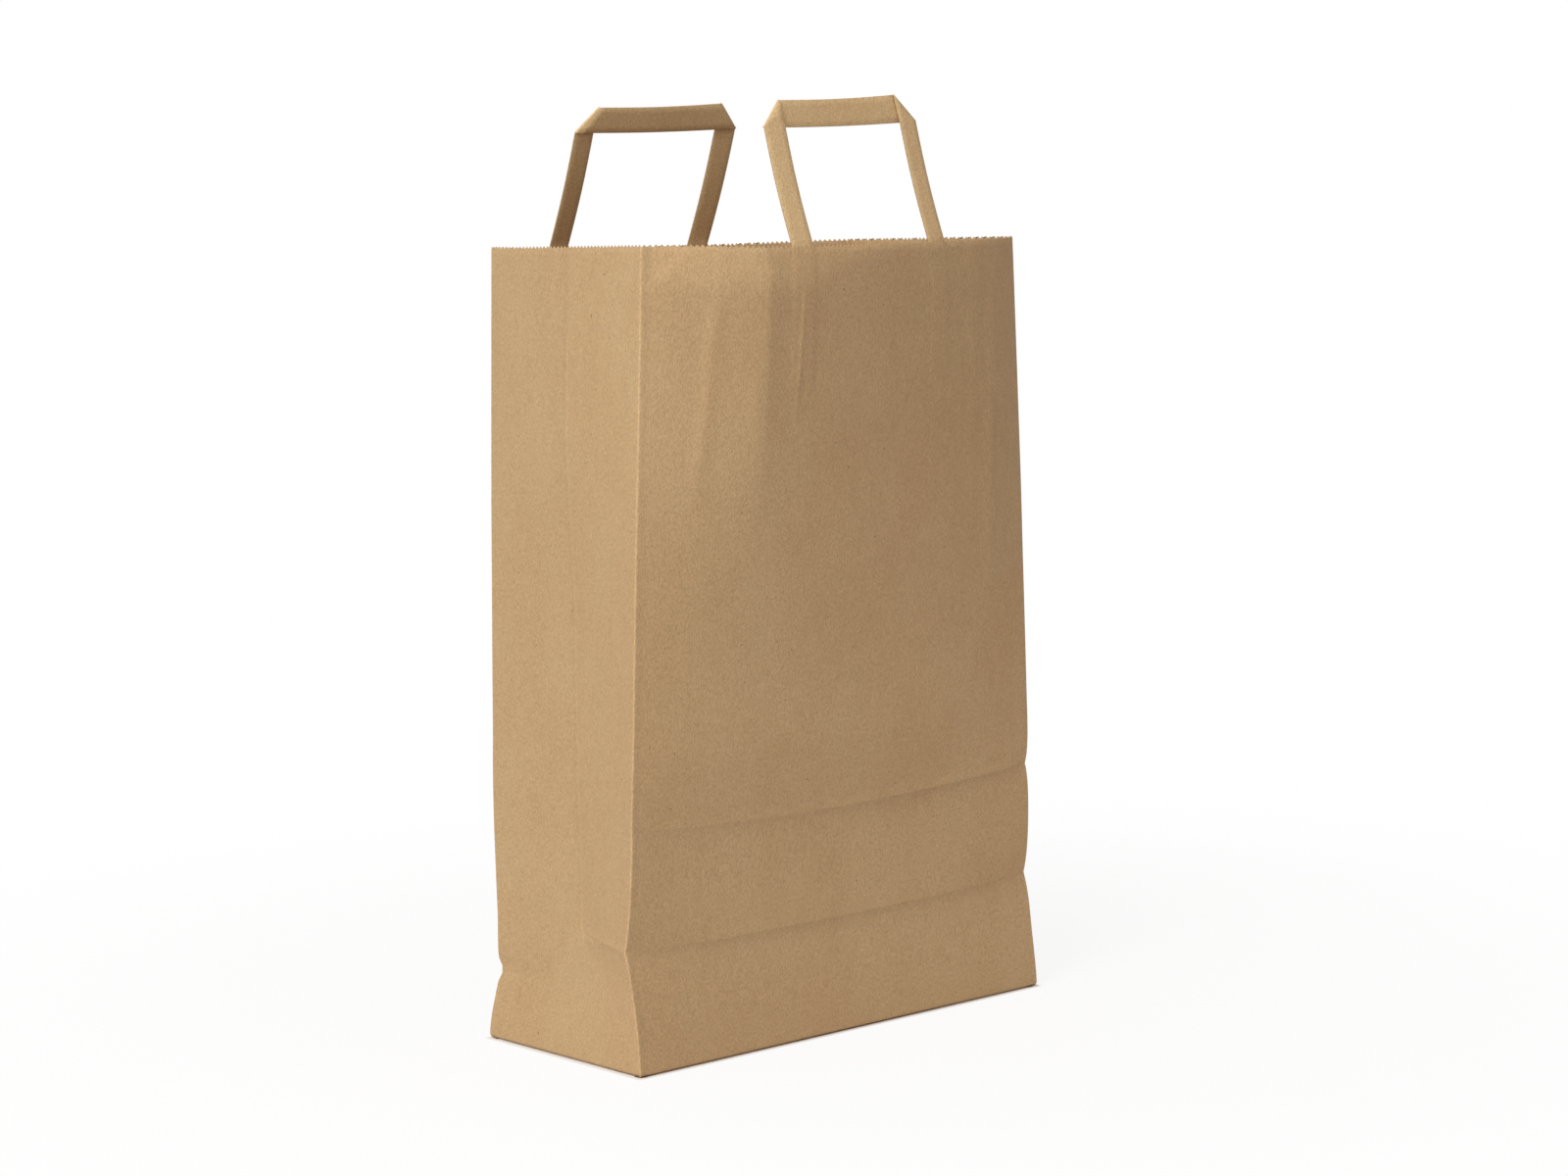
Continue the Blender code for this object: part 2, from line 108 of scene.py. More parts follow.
def make_camera():
    focal_px, azimuth, distance, eye, pitch, roll, side = (
        3526.701457, 0.713567, 1.694191, 0.398336, 0.10924, -0.026272, 0.012601
    )
    view = Vector((math.sin(azimuth), math.cos(azimuth), 0.0))
    right = Vector((math.cos(azimuth), -math.sin(azimuth), 0.0))
    up = Vector((0.0, 0.0, 1.0))
    place = -view * distance + right * side + up * eye
    ahead = view * math.cos(pitch) - up * math.sin(pitch)
    above = view * math.sin(pitch) + up * math.cos(pitch)
    across = right * math.cos(roll) + above * math.sin(roll)
    above = above * math.cos(roll) - right * math.sin(roll)
    data = bpy.data.cameras.new("camera")
    data.sensor_fit = "HORIZONTAL"
    data.sensor_width = 36.0
    data.lens = focal_px * 36.0 / 1600.0
    camera = bpy.data.objects.new("camera", data)
    camera.matrix_world = Matrix(
        (
            (across.x, above.x, -ahead.x, place.x),
            (across.y, above.y, -ahead.y, place.y),
            (across.z, above.z, -ahead.z, place.z),
            (0.0, 0.0, 0.0, 1.0),
        )
    )
    bpy.context.scene.collection.objects.link(camera)
    bpy.context.scene.camera = camera


make_camera()


# The paper's shape

def ramp(value, start, end):
    return min(max((value - start) / (end - start), 0.0), 1.0)


def ramps(values, start, end):
    return np.clip((values - start) / (end - start), 0.0, 1.0)


def smooth(share):
    return share * share * (3.0 - 2.0 * share)


def cusp(height, centre, reach):
    return math.exp(-abs(height - centre) / reach) * ramp(height, 0.0, reach)


def bow_line(height, shift, patch_yaw):
    """A wide wall's level line: where it is along and out from its chord, for places along the paper."""
    places = np.linspace(-HALF_WIDTH, HALF_WIDTH, BOW_PLACES)
    stiff = smooth(ramp(height, PATCH_LOW - STIFF_FADE, PATCH_LOW))
    free = -np.sign(places) * CORNER_ANGLE * (abs(places) / HALF_WIDTH) ** FREE_POWER
    from_patch = abs(places - shift)
    inside = patch_yaw - PATCH_ANGLE * (places - shift) / PATCH_HALF
    bend = ramps(from_patch, PATCH_HALF, PATCH_HALF + BEND_WIDTH)
    wing = HALF_WIDTH - abs(shift) - PATCH_HALF - BEND_WIDTH
    rest = np.clip((from_patch - PATCH_HALF - BEND_WIDTH) / wing, 0.0, 1.0)
    turn = PATCH_ANGLE + (BEND_ANGLE - PATCH_ANGLE) * bend + (CORNER_ANGLE - BEND_ANGLE) * rest
    held = np.where(from_patch < PATCH_HALF, inside, -np.sign(places) * turn)
    onset = smooth(ramp(height, SWELL_START, SWELL_START + SWELL_ONSET))
    swell = onset * ramp(height, SWELL_START, HEIGHT) ** SWELL_POWER
    angles = swell * (stiff * held + (1.0 - stiff) * free)
    middles = (angles[1:] + angles[:-1]) / 2
    step = places[1] - places[0]
    along = np.concatenate([[0.0], np.cumsum(np.cos(middles)) * step])
    out = np.concatenate([[0.0], np.cumsum(np.sin(middles)) * step])
    turn = math.atan2(out[-1], along[-1])
    level_along = along * math.cos(turn) + out * math.sin(turn)
    level_out = out * math.cos(turn) - along * math.sin(turn)
    return places, level_along, level_out


def wall_bow(height, columns):
    """How far the front wall bows out from its chord."""
    places, _, out = bow_line(height, SHIFT_FRONT, FRONT_PATCH_YAW)
    return np.interp(columns, places, out)


def sunk(out, height):
    return out**2 / (2 * (height - SWELL_START)) if height > SWELL_START else out * 0.0


def gusset_push(height):
    forks = height / FOLD_HEIGHT
    if forks < 1.0:
        return GUSSET_DEPTH * forks
    heights = [entry[0] for entry in GUSSET_FADE]
    shares = [entry[1] for entry in GUSSET_FADE]
    return GUSSET_DEPTH * float(np.interp(forks, heights, shares))


def side_push(places, height):
    from_corner = 1.0 - abs(places) / HALF_DEPTH
    if height < FOLD_HEIGHT:
        return GUSSET_DEPTH * np.minimum(height / FOLD_HEIGHT, from_corner)
    return gusset_push(height) * from_corner


def corners(height, front_chord, back_chord):
    rise = ramp(height, SWELL_START, HEIGHT)
    yaw = MOUTH_YAW * rise
    centre = np.array([SWAY_X, SWAY_Y]) * rise
    turned = np.array([[math.cos(yaw), -math.sin(yaw)], [math.sin(yaw), math.cos(yaw)]])
    half_side = math.sqrt(HALF_DEPTH**2 - gusset_push(height) ** 2)
    fold = FOLD_VALLEY * cusp(height, FOLD_HEIGHT, FOLD_REACH)
    mark = MARK_VALLEY * cusp(height, MARK_HEIGHT, MARK_REACH)
    drawn = smooth(ramp(height, 0.0, TUCK_HEIGHT))
    bulge = math.sin(math.pi * ramp(height, 0.0, MARK_HEIGHT)) ** 2
    front_left = centre + turned @ [-front_chord / 2, -half_side]
    front_right = centre + turned @ [front_chord / 2, -half_side]
    back_right = centre + turned @ [back_chord / 2, half_side]
    back_left = centre + turned @ [-back_chord / 2, half_side]
    front_left += [-FRONT_LEFT_BULGE * bulge, fold + mark * MARK_FADE]
    front_right += [-FRONT_RIGHT_TUCK * drawn, fold + mark]
    back_right += [-BACK_RIGHT_TUCK * drawn, 0.0]
    back_left += [BACK_LEFT_TUCK * drawn, 0.0]
    return front_left, front_right, back_right, back_left


def wall_row(wall, height, columns):
    """Points of a wall at a height: 0 front, 1 right, 2 back, 3 left, walked anticlockwise from above."""
    columns = np.asarray(columns, float)
    front_bow = bow_line(height, SHIFT_FRONT, FRONT_PATCH_YAW)
    back_bow = bow_line(height, SHIFT_BACK, BACK_PATCH_YAW)
    front_left, front_right, back_right, back_left = corners(height, front_bow[1][-1], back_bow[1][-1])
    if wall % 2:
        start, end, inward = (front_right, back_right, -1.0) if wall == 1 else (back_left, front_left, 1.0)
        unit = (end - start) / (2 * HALF_DEPTH)
        flat = (start + end) / 2 + unit * columns[:, None]
        flat[:, 0] += inward * side_push(columns, height)
        lower = columns * 0.0
    else:
        bow, start, end, sign = (front_bow, front_left, front_right, 1.0)
        if wall == 2:
            bow, start, end, sign = (back_bow, back_left, back_right, -1.0)
            columns = -columns
        chord = end - start
        length = np.linalg.norm(chord)
        unit = chord / length
        outward = np.array([unit[1], -unit[0]]) * sign
        scale = length / bow[1][-1]
        reach = np.interp(columns, bow[0], bow[2]) * scale
        along = np.interp(columns, bow[0], bow[1]) * scale
        flat = start + unit * along[:, None] + outward * reach[:, None]
        lower = sunk(reach, height)
    slope = MOUTH_SLOPE * flat[:, 0] * ramp(height, SWELL_START, HEIGHT)
    return np.column_stack([flat, height - lower + slope])


# Wear of this one bag, in millimetres along a wall and up it: (start, end, half width, rise) of soft ridges
FRONT_RIDGES = (
    ((-93, 374), (-103, 262), 3.6, 0.85),
    ((-74, 330), (-74, 284), 2.2, 0.30),
    ((-48, 366), (-50.5, 296), 1.5, 0.32),
    ((-126, 362), (-106, 382), 1.8, 0.35),
    ((97, 384), (94, 205), 5.0, 0.85),
    ((-34, 362), (-8, 371), 2.4, -0.36),
    ((-8, 371), (34, 370), 2.4, -0.26),
    ((30, 370), (88, 378), 2.4, -0.26),
)
SIDE_RIDGES = (
    ((2, 59), (58, 59), 1.2, 0.30),
    ((2, 55), (58, 55.5), 1.6, -0.22),
)
# Painted highlights: lighter lines along ridges and folds where the light catches them, (start, end, half
# width, strength)
FRONT_PAINTED_HIGHLIGHTS = (
    ((-48.5, 366), (-50.3, 318), 0.7, 0.08),
    ((-97, 352), (-102, 285), 2.4, 0.06),
    ((-126, 364), (-108, 380), 1.6, 0.06),
)
SIDE_PAINTED_HIGHLIGHTS = (
    ((0.9, 72), (0.9, 60.5), 0.9, 0.14),
    ((0.9, 60.5), (3.6, 57.4), 1.2, 0.20),
    ((3.6, 57.4), (13.0, 56.8), 1.2, 0.17),
    ((13.0, 56.8), (57.5, 60.0), 1.2, 0.06),
    ((0.9, 340), (0.9, 72), 0.8, 0.10),
    ((-54.5, 33.5), (-50.0, 33.0), 1.8, 0.20),
)
# Pushed-in places: centre, half sizes and shift, in millimetres
DENTS = (
    ((-121, 57, 33), (14, 14, 4.5), (2.2, -1.2, 0.0)),
    ((-126, 48, 22), (10, 9, 7.0), (1.1, 0.0, 0.0)),
)

# The paper's small relief, in metres
FOLD_LIP = (0.0, 0.0009, 0.006)  # how far the paper falls back above and below a crease, and over what reach
MARK_LIP = (0.00035, 0.0009, 0.004)
FOLD_SAG = 0.0020  # how much lower a crease is in the middle of the front wall, and over what reach
FOLD_SAG_REACH = 0.020
MARK_SAG = 0.0045
MARK_SAG_REACH = 0.025
PATCH_CREST = 0.0005  # height of the bend along the patch's left edge, and its reach to each side
CREST_BEFORE = 0.012
CREST_AFTER = 0.006
SLACK = 0.26  # share of the front wall's bow that is missing at its most slack height
SLACK_HEIGHT = 0.185
SLACK_REACH = 0.055
RIM_LEAN = 0.0028  # by which the free edge above the patch leans in
RIM_START = PATCH_HIGH - 0.006
LEG_PRINT = 0.00030  # by which the glued legs and the patch press through a wide wall
PATCH_PRINT = 0.00012
FOOT_ROUND = 0.0022  # height of the rounded bottom fold, how far it turns in, and its lift above the ground
FOOT_IN = 0.0011
FOOT_LIFT = 0.0007
FOOT_RETURN = 0.004  # length of the sheet turned under the bag
FLAP_INSET = 0.0016  # of the bottom flaps inside the rounded fold

# Tones painted into the paper's colour, as shares lighter or darker than plain paper: mostly painted shade
# and painted highlights, partly edge wear
CORNER_WEAR_AND_HIGHLIGHT = 0.34
EDGE_WEAR_AND_HIGHLIGHT = 0.10  # worn and partly a painted highlight, along the cut edge and on the tape's turned folds
RIM_PAINTED_LIGHT = 0.12
GUSSET_SHADE = 0.05
CORNER_SHADE = 0.07
NEAR_STRIP_PAINTED_LIGHT = 0.035  # painted light on the half of the side wall between the gusset crease and the near corner, which faces the light more
NEAR_FACET_PAINTED_LIGHT = 0.11  # painted light on the folded triangle at the near bottom corner


def half_length(wall):
    return HALF_DEPTH if wall % 2 else HALF_WIDTH


def bell(values, centre, width):
    return np.exp(-(((values - centre) / width) ** 2))


def along_line(columns, height, start, end):
    """For places at a height: the share of the way along a line, and the distance from it in millimetres."""
    first = np.array(start, float)
    along = np.array(end, float) - first
    points = np.column_stack([columns * 1000, np.full(len(columns), height * 1000)]) - first
    share = np.clip(points @ along / (along @ along), 0.0, 1.0)
    return share, np.linalg.norm(points - share[:, None] * along, axis=1)


def ridge(columns, height, start, end, width, rise):
    """A soft ridge along a line, which fades at its ends."""
    share, away = along_line(columns, height, start, end)
    fade = smooth(ramps(share, 0.0, 0.25)) * smooth(ramps(1 - share, 0.0, 0.25))
    return rise / 1000 * bell(away, 0.0, width) * fade


def highlight_line(columns, height, start, end, width, strength):
    """A soft painted highlight along a line."""
    _, away = along_line(columns, height, start, end)
    return strength * bell(away, 0.0, width)


# Painted shade along the bottom fold crease: a little darker above it, darker below it
def fold_tone(off):
    return -0.012 * math.exp(-off / 0.003) if off > 0 else -0.095 * math.exp(off / 0.0065)


# Painted highlight just above the mark crease and painted shade below it
def mark_tone(off):
    return 0.03 * bell(off, 0.0026, 0.002) if off > 0 else -0.14 * math.exp(off / 0.0060)


def tone_row(wall, height, columns):
    """Painted shade and painted light in the paper's colour: at creases, folds, ridges and corners, near the
    rim and on facets that face the light, with some wear at the corners.
    """
    from_end = half_length(wall) - abs(columns)
    # Painted highlight on the rounded corners, partly a worn lighter fold line
    cloudy = [noise.noise(Vector((wall * 5.0 + np.sign(s), height * 60, 2.0))) for s in columns]
    tone = CORNER_WEAR_AND_HIGHLIGHT * (0.75 + 0.5 * np.array(cloudy)) * bell(from_end, 0.0, 0.00055)
    if wall % 2 == 0:
        inner = smooth(ramps(from_end, 0.0, 0.010))
        strength = 0.45 + 0.55 * smooth(ramps(columns, -0.09, 0.11))
        tone += (fold_tone(height - FOLD_HEIGHT) + mark_tone(height - MARK_HEIGHT) * strength) * inner
    else:
        above_fork = smooth(ramp(height, FOLD_HEIGHT, FOLD_HEIGHT + 0.006))
        tone -= GUSSET_SHADE * above_fork * bell(columns, -0.0009, 0.0008)
    if wall == 0:
        tone -= CORNER_SHADE * bell(columns + HALF_WIDTH, 0.0022, 0.0016)
        # Painted light near the rim, where the front wall bends towards the light
        wedge = 0.358 + 0.018 * ramps(columns, -0.046, 0.010)
        tone += RIM_PAINTED_LIGHT * smooth(ramps(height - wedge, 0.0, 0.014)) * inner
        # Painted highlights along the ridges and the leg's edge
        for line in FRONT_PAINTED_HIGHLIGHTS:
            tone += highlight_line(columns, height, *line)
    if wall == 3:
        # Painted light on the near half of the side wall
        tone += NEAR_STRIP_PAINTED_LIGHT * smooth(ramps(columns, 0.0, 0.002)) * smooth(ramp(height, 0.056, 0.060))
        # Painted light on the folded facet at the near bottom corner
        facet = smooth(ramps(height - HALF_DEPTH + columns, -0.004, 0.004)) * (columns > 0)
        tone += NEAR_FACET_PAINTED_LIGHT * facet * (1 - smooth(ramp(height, 0.036, FOLD_HEIGHT)))
        # Painted highlights along the gusset crease, its hook and a pinched facet
        for line in SIDE_PAINTED_HIGHLIGHTS:
            tone += highlight_line(columns, height, *line)
    return tone


def lip(off, above, below, reach):
    """Relief beside a crease line: the paper falls back from the line, more or less above and below it."""
    depth = above if off > 0 else below
    return -depth * abs(off) / reach * math.exp(1 - abs(off) / reach)


def paper_row(wall, height, columns):
    """Points of a wall at a height, with the paper's small relief, and the outward directions there."""
    columns = np.asarray(columns, float)
    step = 0.0004
    ahead = wall_row(wall, height, columns + step) - wall_row(wall, height, columns - step)
    points = wall_row(wall, height, columns)
    outward = np.column_stack([ahead[:, 1], -ahead[:, 0], np.zeros(len(columns))])
    outward /= np.linalg.norm(outward, axis=1)[:, None]
    relief = np.zeros(len(columns))
    if wall == 0:
        for line in FRONT_RIDGES:
            relief += ridge(columns, height, *line)
        inner = 1 - (columns / HALF_WIDTH) ** 4
        mark_share = np.interp(columns, (-HALF_WIDTH, HALF_WIDTH), (MARK_FADE, 1.0))
        valley = FOLD_VALLEY * cusp(height, FOLD_HEIGHT, FOLD_REACH)
        valley = valley + MARK_VALLEY * cusp(height, MARK_HEIGHT, MARK_REACH) * mark_share
        relief += valley * inner
        relief += lip(height - FOLD_HEIGHT, *FOLD_LIP) * inner
        strength = 0.25 + 0.75 * smooth(ramps(columns, -0.10, 0.12))
        relief += lip(height - MARK_HEIGHT, *MARK_LIP) * inner * strength
        from_edge = columns - (SHIFT_FRONT - PATCH_HALF)
        crest = np.where(from_edge < 0, np.exp(from_edge / CREST_BEFORE), np.exp(-from_edge / CREST_AFTER))
        relief -= SLACK * wall_bow(height, columns) * bell(height, SLACK_HEIGHT, SLACK_REACH)
        level = smooth(ramp(height, 0.285, 0.315)) * (1 - smooth(ramp(height, 0.362, HEIGHT)))
        relief += PATCH_CREST * crest * level
        relief -= RIM_LEAN * ramp(height, RIM_START, HEIGHT) ** 2 * inner
    if wall == 3:
        for line in SIDE_RIDGES:
            relief += ridge(columns, height, *line)
    if wall % 2 == 0:
        shift = SHIFT_FRONT if wall == 0 else -SHIFT_BACK
        foot = HEIGHT + RISE_FRONT - LEG_LENGTH
        for side in (-1, 1):
            from_leg = abs(columns - shift - side * LEG_MIDDLE)
            raised = smooth(1 - ramps(from_leg, TAPE_WIDTH / 2 - 0.001, TAPE_WIDTH / 2 + 0.0012))
            relief += LEG_PRINT * raised * smooth(ramp(height, foot - 0.001, foot + 0.002))
        from_patch = abs(columns - shift)
        under = smooth(1 - ramps(from_patch, PATCH_HALF - 0.0008, PATCH_HALF + 0.0008))
        above_low = smooth(ramp(height, PATCH_LOW - 0.001, PATCH_LOW + 0.001))
        below_high = smooth(1 - ramp(height, PATCH_HIGH - 0.001, PATCH_HIGH + 0.001))
        relief += PATCH_PRINT * under * above_low * below_high
    low = ramp(height, 0.0, 0.03)
    edge = smooth(ramps(half_length(wall) - abs(columns), 0.0, 0.012))
    waves = [
        0.00035 * noise.noise(Vector((s * 16, wall * 7.3, height * 6.0)))
        + 0.00012 * noise.noise(Vector((s * 70, wall * 3.1 + 9, height * 30.0)))
        for s in columns
    ]
    relief += np.array(waves) * edge * low
    points = points + outward * relief[:, None]
    if wall == 0:
        across = 1 - (columns / HALF_WIDTH) ** 2
        points[:, 2] -= MARK_SAG * across * bell(height, MARK_HEIGHT, MARK_SAG_REACH)
        points[:, 2] -= FOLD_SAG * across * bell(height, FOLD_HEIGHT, FOLD_SAG_REACH)
    for centre, size, shift in DENTS:
        off = (points * 1000 - centre) / size
        points = points + np.exp(-(off**2).sum(1))[:, None] * np.array(shift) / 1000
    turned_in = 1 - ramp(height, FOOT, FOOT_ROUND)
    points = points - outward * FOOT_IN * turned_in**2
    points[:, 2] += FOOT_LIFT * turned_in
    return points, outward


def tooth_columns(wall):
    """Places of the cut edge's valleys along a wall."""
    half = half_length(wall)
    return np.linspace(-half, half, max(round(2 * half / TOOTH_PITCH), 1) + 1)


def fine_rows():
    """Heights of the level lines, closest at the creases."""
    heights = [FOOT]
    top = HEIGHT - TOOTH_HEIGHT
    while heights[-1] < top:
        z = heights[-1]
        near_fold = min(abs(z - FOLD_HEIGHT), abs(z - MARK_HEIGHT))
        step = 0.0006 + 0.0032 * smooth(ramp(near_fold, 0.003, 0.022))
        if z < 0.012:
            step = min(step, 0.0006 if z < 0.0024 else 0.002)
        if z > RIM_START:
            step = min(step, 0.003)
        heights.append(z + step)
    scale = (top - FOOT) / (heights[-1] - FOOT)
    return [FOOT + (z - FOOT) * scale for z in heights]


def mesh_object(name, verts, faces, body="root", smooth_faces=True):
    mesh = bpy.data.meshes.new(name)
    mesh.from_pydata([tuple(v) for v in verts], [], faces)
    mesh.validate()
    mesh.update()
    mesh.polygons.foreach_set("use_smooth", [smooth_faces] * len(mesh.polygons))
    made = bpy.data.objects.new(name, mesh)
    bpy.context.scene.collection.objects.link(made)
    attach(made, body)
    return made


def set_tones(made, tones):
    """Keeps on each vertex how much lighter or darker the paper is painted there: painted shade and
    highlights, and some wear.
    """
    assert len(tones) == len(made.data.vertices)
    values = made.data.attributes.new("tone", "FLOAT", "POINT").data
    values.foreach_set("value", np.array(tones, dtype=np.float32))


def thicken(made, thickness):
    solid = made.modifiers.new("Thickness", "SOLIDIFY")
    solid.thickness = thickness
    solid.offset = 0.0


def make_bag():
    """The walls as one folded sheet, turned in at the foot, with a toothed edge."""
    layout = []
    for wall in range(4):
        valleys = tooth_columns(wall)
        base = valleys if wall in (0, 3) else np.append(valleys[:-1:2], valleys[-1])
        extra = [base[0] + 0.0004, base[0] + 0.0010, base[-1] - 0.0010, base[-1] - 0.0004]
        if wall % 2:
            extra += [-0.0020, -0.0009, 0.0, 0.0009, 0.0020, 0.0030]
        else:
            shift = SHIFT_FRONT if wall == 0 else -SHIFT_BACK
            for edge in (LEG_INNER, LEG_OUTER, PATCH_HALF):
                extra += [shift + sign * edge + off for sign in (-1, 1) for off in (-0.0009, 0.0009)]
        if wall == 0:
            extra += [-0.0513, -0.0505, -0.0498, -0.0490, -0.0482]
        columns = np.unique(np.concatenate([base, extra]).round(7))
        layout.append((valleys, base, columns))
    verts = []
    faces = []
    tones = []
    loop = sum(len(columns) - 1 for _, _, columns in layout)
    starts = np.cumsum([0] + [len(columns) - 1 for _, _, columns in layout])
    heights = fine_rows()
    for level, height in enumerate([FOOT] + heights):
        rows = [paper_row(wall, height, layout[wall][2]) for wall in range(4)]
        if level == 0:
            rows = [(points - outward * FOOT_RETURN, outward) for points, outward in rows]
        row = np.concatenate([points[:-1] for points, _ in rows])
        if level == 0:
            row[:, 2] = PAPER * 2.5
        for corner in starts[:-1]:
            row[corner] = row[corner] * 0.4 + (row[corner - 1] + row[(corner + 1) % loop]) * 0.3
        verts.extend(row)
        tones.extend(np.concatenate([tone_row(wall, height, layout[wall][2])[:-1] for wall in range(4)]))
    for level in range(len(heights)):
        low, high = level * loop, (level + 1) * loop
        for number in range(loop):
            following = (number + 1) % loop
            faces.append((low + number, low + following, high + following, high + number))
    top = len(heights) * loop
    for wall, (valleys, base, columns) in enumerate(layout):
        tips = (valleys[1:] + valleys[:-1]) / 2
        tip_points, _ = paper_row(wall, HEIGHT, tips)
        valley_points, _ = paper_row(wall, HEIGHT - TOOTH_HEIGHT, valleys)
        for left, right in zip(base, base[1:]):
            inside = [i for i, s in enumerate(columns) if left - 1e-6 <= s <= right + 1e-6]
            edge = [top + (starts[wall] + i) % loop for i in inside]
            notch = [(s, p) for s, p in zip(valleys, valley_points) if left + 1e-6 < s < right - 1e-6]
            peaks = [(s, p) for s, p in zip(tips, tip_points) if left < s < right]
            cut = sorted(notch + peaks, key=lambda entry: -entry[0])
            first = len(verts)
            verts.extend(point for _, point in cut)
            # Painted highlight, partly wear, on the points of the cut edge
            tones.extend(EDGE_WEAR_AND_HIGHLIGHT for _ in cut)
            faces.append((*edge, *range(first, len(verts))))
    bag = mesh_object("bag_paper", verts, faces)
    set_tones(bag, tones)
    thicken(bag, PAPER)
    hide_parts("bag")
    return bag


def make_bottom():
    """The four glued flaps of the block bottom, inside its rounded fold."""
    reach = HALF_DEPTH + FLAP_OVERLAP / 2
    half_width = HALF_WIDTH - FLAP_INSET
    half_depth = HALF_DEPTH - FLAP_INSET
    flaps = []
    for sign, layer in ((1, 0), (-1, 1)):
        edge, inner = sign * half_depth, sign * (HALF_DEPTH - reach)
        ends = (half_width, HALF_WIDTH - reach)
        flaps.append(([(-ends[0], edge), (ends[0], edge), (ends[1], inner), (-ends[1], inner)], layer))
    for sign in (-1, 1):
        edge, inner = sign * half_width, sign * (HALF_WIDTH - reach)
        outline = [(edge, -half_depth), (edge, half_depth), (inner, half_depth), (inner, -half_depth)]
        flaps.append((outline, 2))
    verts = []
    faces = []
    for outline, layer in flaps:
        low = layer * PAPER + 0.00001
        area = sum(a[0] * b[1] - b[0] * a[1] for a, b in zip(outline, outline[1:] + outline[:1]))
        points = outline if area > 0 else outline[::-1]
        first = len(verts)
        count = len(points)
        verts += [(x, y, low) for x, y in points] + [(x, y, low + PAPER * 0.9) for x, y in points]
        faces.append(tuple(first + i for i in reversed(range(count))))
        faces.append(tuple(first + count + i for i in range(count)))
        for i in range(count):
            j = (i + 1) % count
            faces.append((first + i, first + j, first + count + j, first + count + i))
    bottom = mesh_object("bag_bottom", verts, faces, smooth_faces=False)
    return bottom


# Handles: a tape folded flat, in two visible layers, turned over at 45 degrees at each end of the bar

def section(width, thickness):
    """Outline of the folded tape across its length, as (across, through): two layers show at each edge."""
    w, t = width / 2, thickness / 2
    groove = 0.00016
    columns = [-w + groove, -w / 2, 0.0, w / 2, w - groove]
    ring = [(c, t) for c in columns]
    ring += [(w, t * 0.55), (w - groove * 0.8, 0.0), (w, -t * 0.55)]
    ring += [(c, -t) for c in reversed(columns)]
    ring += [(-w, -t * 0.55), (-w + groove * 0.8, 0.0), (-w, t * 0.55)]
    return ring


# Painted shade in the groove between the tape's two layers at each edge
LAYER_GAP_SHADE = [0.0] * 5 + [-0.12, -0.60, -0.12] + [0.0] * 5 + [-0.12, -0.60, -0.12]
LEG_BOW = 0.0009
BAR_SAG = 0.0007


def loft(verts, faces, rings):
    """Adds a closed solid through rings of points."""
    first = len(verts)
    count = len(rings[0])
    for ring in rings:
        verts.extend(ring)
    for level in range(len(rings) - 1):
        a, b = first + level * count, first + (level + 1) * count
        for i in range(count):
            j = (i + 1) % count
            faces.append((a + i, a + j, b + j, b + i))
    faces.append(tuple(first + i for i in reversed(range(count))))
    last = first + (len(rings) - 1) * count
    faces.append(tuple(last + i for i in range(count)))


def tape_ring(edge_a, edge_b, facing):
    """One ring of the tape between two edge points, with its outer side towards facing."""
    across = edge_b - edge_a
    width = np.linalg.norm(across)
    unit = across / width
    middle = (edge_a + edge_b) / 2
    return [middle + unit * c + facing * t for c, t in section(width, TAPE)]


